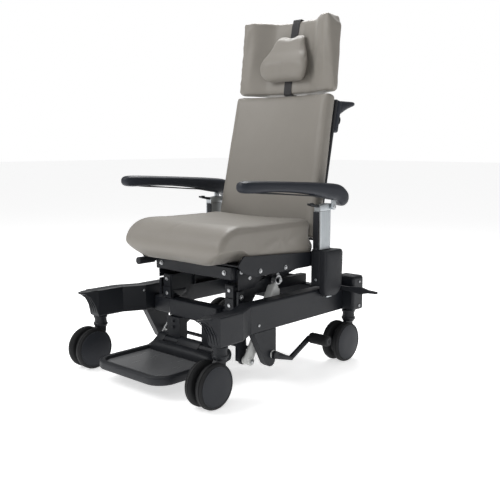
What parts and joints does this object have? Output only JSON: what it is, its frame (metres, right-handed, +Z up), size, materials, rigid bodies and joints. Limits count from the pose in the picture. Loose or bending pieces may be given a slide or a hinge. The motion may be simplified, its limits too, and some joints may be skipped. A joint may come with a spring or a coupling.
{
  "type": "sit to stand lift",
  "caption": "Wheeled chair on a scissor lift that raises and tilts its seat, with flip-up armrests, a reclining back, a headrest and a folding footplate.",
  "frame": {"origin": "floor point under the middle of the bounding box", "axes": "+X to the sitter's left, -Y to the front, +Z up; the floor is z = 0"},
  "size_m": [0.862, 0.9888, 1.3169],
  "materials": {
    "satin_frame": "satin powder coat, near-black blue-grey",
    "beam_coat": "satin powder coat, near-black blue-grey, on hollow box beams",
    "black_plastic": "fine-grained black moulding",
    "rubber": "matt black",
    "grey_vinyl": "soft warm-grey coated upholstery, low sheen",
    "arm_pad": "soft-touch navy-black foam skin",
    "aluminium": "satin extruded bar with fine lines",
    "light_grey_plastic": "smooth light-grey housing",
    "steel": "zinc-plated bar",
    "webbing": "woven black webbing"
  },
  "bodies": {
    "chassis": {"actuator_bracket": "satin_frame", "brake_bracket_left": "satin_frame", "brake_bracket_right": "satin_frame", "footplate_hanger_left": "satin_frame", "footplate_hanger_right": "satin_frame", "front_crossbeam": "beam_coat", "lift_bracket_left": "satin_frame", "lift_bracket_right": "satin_frame", "rear_crossbeam": "beam_coat", "roller_track_left": "satin_frame", "roller_track_right": "satin_frame", "side_beam_left": "beam_coat", "side_beam_right": "beam_coat"},
    "castor_front_left": {"castor_front_left": "satin_frame"},
    "wheel_front_left_outer": {"wheel_front_left_outer": "rubber"},
    "wheel_front_left_inner": {"wheel_front_left_inner": "rubber"},
    "castor_rear_left": {"castor_rear_left": "satin_frame"},
    "wheel_rear_left_outer": {"wheel_rear_left_outer": "rubber"},
    "wheel_rear_left_inner": {"wheel_rear_left_inner": "rubber"},
    "castor_front_right": {"castor_front_right": "satin_frame"},
    "wheel_front_right_outer": {"wheel_front_right_outer": "rubber"},
    "wheel_front_right_inner": {"wheel_front_right_inner": "rubber"},
    "castor_rear_right": {"castor_rear_right": "satin_frame"},
    "wheel_rear_right_outer": {"wheel_rear_right_outer": "rubber"},
    "wheel_rear_right_inner": {"wheel_rear_right_inner": "rubber"},
    "outer_arms": {"outer_arms": "satin_frame"},
    "inner_arms": {"inner_arms": "satin_frame"},
    "carriage": {"carriage_front_bar": "satin_frame", "carriage_rail_left": "satin_frame", "carriage_rail_right": "satin_frame", "carriage_rear_bar": "satin_frame"},
    "actuator_body": {"actuator_body": "light_grey_plastic"},
    "actuator_rod": {"actuator_rod": "steel"},
    "seat": {"seat_pan": "satin_frame", "seat_cushion": "grey_vinyl", "arm_cover_left": "black_plastic", "arm_cover_right": "black_plastic", "arm_post_left": "aluminium", "arm_post_right": "aluminium"},
    "backrest": {"back_shell": "black_plastic", "back_cushion": "grey_vinyl", "push_handle_left": "black_plastic", "push_handle_right": "black_plastic"},
    "headrest": {"headrest_pad": "grey_vinyl", "headrest_stay": "satin_frame", "pillow_strap": "webbing", "neck_pillow": "grey_vinyl"},
    "armrest_left": {"armrest_left": "arm_pad"},
    "arm_release_left": {"arm_release_left": "black_plastic"},
    "handle_release_left": {"handle_release_left": "black_plastic"},
    "armrest_right": {"armrest_right": "arm_pad"},
    "arm_release_right": {"arm_release_right": "black_plastic"},
    "handle_release_right": {"handle_release_right": "black_plastic"},
    "footplate": {"footplate": "black_plastic"},
    "brake": {"brake_shaft": "steel", "brake_pad_left": "rubber", "brake_pad_right": "rubber"},
    "side_lever": {"side_lever": "black_plastic"}
  },
  "joints": [
    {"name": "swivel_front_left", "type": "hinge", "parent": "chassis", "child": "castor_front_left", "pos_m": [0.2765, -0.3559, 0.17], "axis": [0, 0, 1], "continuous": true},
    {"name": "roll_front_left_outer", "type": "hinge", "parent": "castor_front_left", "child": "wheel_front_left_outer", "pos_m": [0.3005, -0.4059, 0.075], "axis": [1, 0, 0], "continuous": true},
    {"name": "roll_front_left_inner", "type": "hinge", "parent": "castor_front_left", "child": "wheel_front_left_inner", "pos_m": [0.2525, -0.4059, 0.075], "axis": [1, 0, 0], "continuous": true},
    {"name": "swivel_rear_left", "type": "hinge", "parent": "chassis", "child": "castor_rear_left", "pos_m": [0.2765, 0.3491, 0.17], "axis": [0, 0, 1], "continuous": true},
    {"name": "roll_rear_left_outer", "type": "hinge", "parent": "castor_rear_left", "child": "wheel_rear_left_outer", "pos_m": [0.3005, 0.2991, 0.075], "axis": [1, 0, 0], "continuous": true},
    {"name": "roll_rear_left_inner", "type": "hinge", "parent": "castor_rear_left", "child": "wheel_rear_left_inner", "pos_m": [0.2525, 0.2991, 0.075], "axis": [1, 0, 0], "continuous": true},
    {"name": "swivel_front_right", "type": "hinge", "parent": "chassis", "child": "castor_front_right", "pos_m": [-0.3545, -0.3559, 0.17], "axis": [0, 0, 1], "continuous": true},
    {"name": "roll_front_right_outer", "type": "hinge", "parent": "castor_front_right", "child": "wheel_front_right_outer", "pos_m": [-0.3785, -0.4059, 0.075], "axis": [1, 0, 0], "continuous": true},
    {"name": "roll_front_right_inner", "type": "hinge", "parent": "castor_front_right", "child": "wheel_front_right_inner", "pos_m": [-0.3305, -0.4059, 0.075], "axis": [1, 0, 0], "continuous": true},
    {"name": "swivel_rear_right", "type": "hinge", "parent": "chassis", "child": "castor_rear_right", "pos_m": [-0.3545, 0.3491, 0.17], "axis": [0, 0, 1], "continuous": true},
    {"name": "roll_rear_right_outer", "type": "hinge", "parent": "castor_rear_right", "child": "wheel_rear_right_outer", "pos_m": [-0.3785, 0.2991, 0.075], "axis": [1, 0, 0], "continuous": true},
    {"name": "roll_rear_right_inner", "type": "hinge", "parent": "castor_rear_right", "child": "wheel_rear_right_inner", "pos_m": [-0.3305, 0.2991, 0.075], "axis": [1, 0, 0], "continuous": true},
    {"name": "lift_raise", "type": "hinge", "parent": "chassis", "child": "outer_arms", "pos_m": [-0.039, -0.1334, 0.302], "axis": [1, 0, 0], "range_deg": [0, 31]},
    {"name": "lift_cross", "type": "hinge", "parent": "outer_arms", "child": "inner_arms", "pos_m": [-0.039, 0.0617, 0.346], "axis": [1, 0, 0], "range_deg": [-62, 0]},
    {"name": "lift_carry", "type": "hinge", "parent": "inner_arms", "child": "carriage", "pos_m": [-0.039, -0.1334, 0.39], "axis": [1, 0, 0], "range_deg": [0, 31]},
    {"name": "actuator_swing", "type": "hinge", "parent": "chassis", "child": "actuator_body", "pos_m": [0.183, -0.1244, 0.07], "axis": [1, 0, 0], "range_deg": [0, 13]},
    {"name": "actuator_stroke", "type": "slide", "parent": "actuator_body", "child": "actuator_rod", "axis": [0, 0.4928, 0.8701], "range_m": [0, 0.058]},
    {"name": "seat_tilt", "type": "hinge", "parent": "carriage", "child": "seat", "pos_m": [-0.039, -0.1684, 0.398], "axis": [1, 0, 0], "range_deg": [0, 25]},
    {"name": "back_recline", "type": "hinge", "parent": "seat", "child": "backrest", "pos_m": [-0.039, 0.2516, 0.43], "axis": [-1, 0, 0], "range_deg": [0, 35]},
    {"name": "headrest_height", "type": "slide", "parent": "backrest", "child": "headrest", "axis": [0, 0.1977, 0.9803], "range_m": [0, 0.08]},
    {"name": "arm_lift_left", "type": "hinge", "parent": "seat", "child": "armrest_left", "pos_m": [0.2595, 0.2526, 0.592], "axis": [-1, 0, 0], "range_deg": [0, 80]},
    {"name": "arm_release_press_left", "type": "hinge", "parent": "seat", "child": "arm_release_left", "pos_m": [0.245, 0.1826, 0.6], "axis": [-1, 0, 0], "range_deg": [0, 8], "stiffness_Nm_per_rad": 2},
    {"name": "handle_release_pull_left", "type": "hinge", "parent": "backrest", "child": "handle_release_left", "pos_m": [0.172, 0.38118, 0.89761], "axis": [-1, 0, 0], "range_deg": [0, 10], "stiffness_Nm_per_rad": 2},
    {"name": "arm_lift_right", "type": "hinge", "parent": "seat", "child": "armrest_right", "pos_m": [-0.3375, 0.2526, 0.592], "axis": [-1, 0, 0], "range_deg": [0, 80]},
    {"name": "arm_release_press_right", "type": "hinge", "parent": "seat", "child": "arm_release_right", "pos_m": [-0.323, 0.1826, 0.6], "axis": [-1, 0, 0], "range_deg": [0, 8], "stiffness_Nm_per_rad": 2},
    {"name": "handle_release_pull_right", "type": "hinge", "parent": "backrest", "child": "handle_release_right", "pos_m": [-0.25, 0.38118, 0.89761], "axis": [-1, 0, 0], "range_deg": [0, 10], "stiffness_Nm_per_rad": 2},
    {"name": "footplate_fold", "type": "hinge", "parent": "chassis", "child": "footplate", "pos_m": [-0.039, -0.1834, 0.09], "axis": [-1, 0, 0], "range_deg": [0, 60]},
    {"name": "brake_press", "type": "hinge", "parent": "chassis", "child": "brake", "pos_m": [-0.039, -0.0754, 0.098], "axis": [-1, 0, 0], "range_deg": [0, 12]},
    {"name": "side_lever_turn", "type": "hinge", "parent": "chassis", "child": "side_lever", "pos_m": [0.263, 0.3076, 0.28], "axis": [0, 1, 0], "range_deg": [-12, 12]}
  ],
  "couplings": [
    {"joint": "lift_cross", "follows": "lift_raise", "ratio": -2},
    {"joint": "lift_carry", "follows": "lift_raise", "ratio": 1},
    {"joint": "actuator_swing", "follows": "lift_raise", "ratio": 0.37918},
    {"joint": "actuator_stroke", "follows": "lift_raise", "m_per_rad": 0.10496}
  ]
}
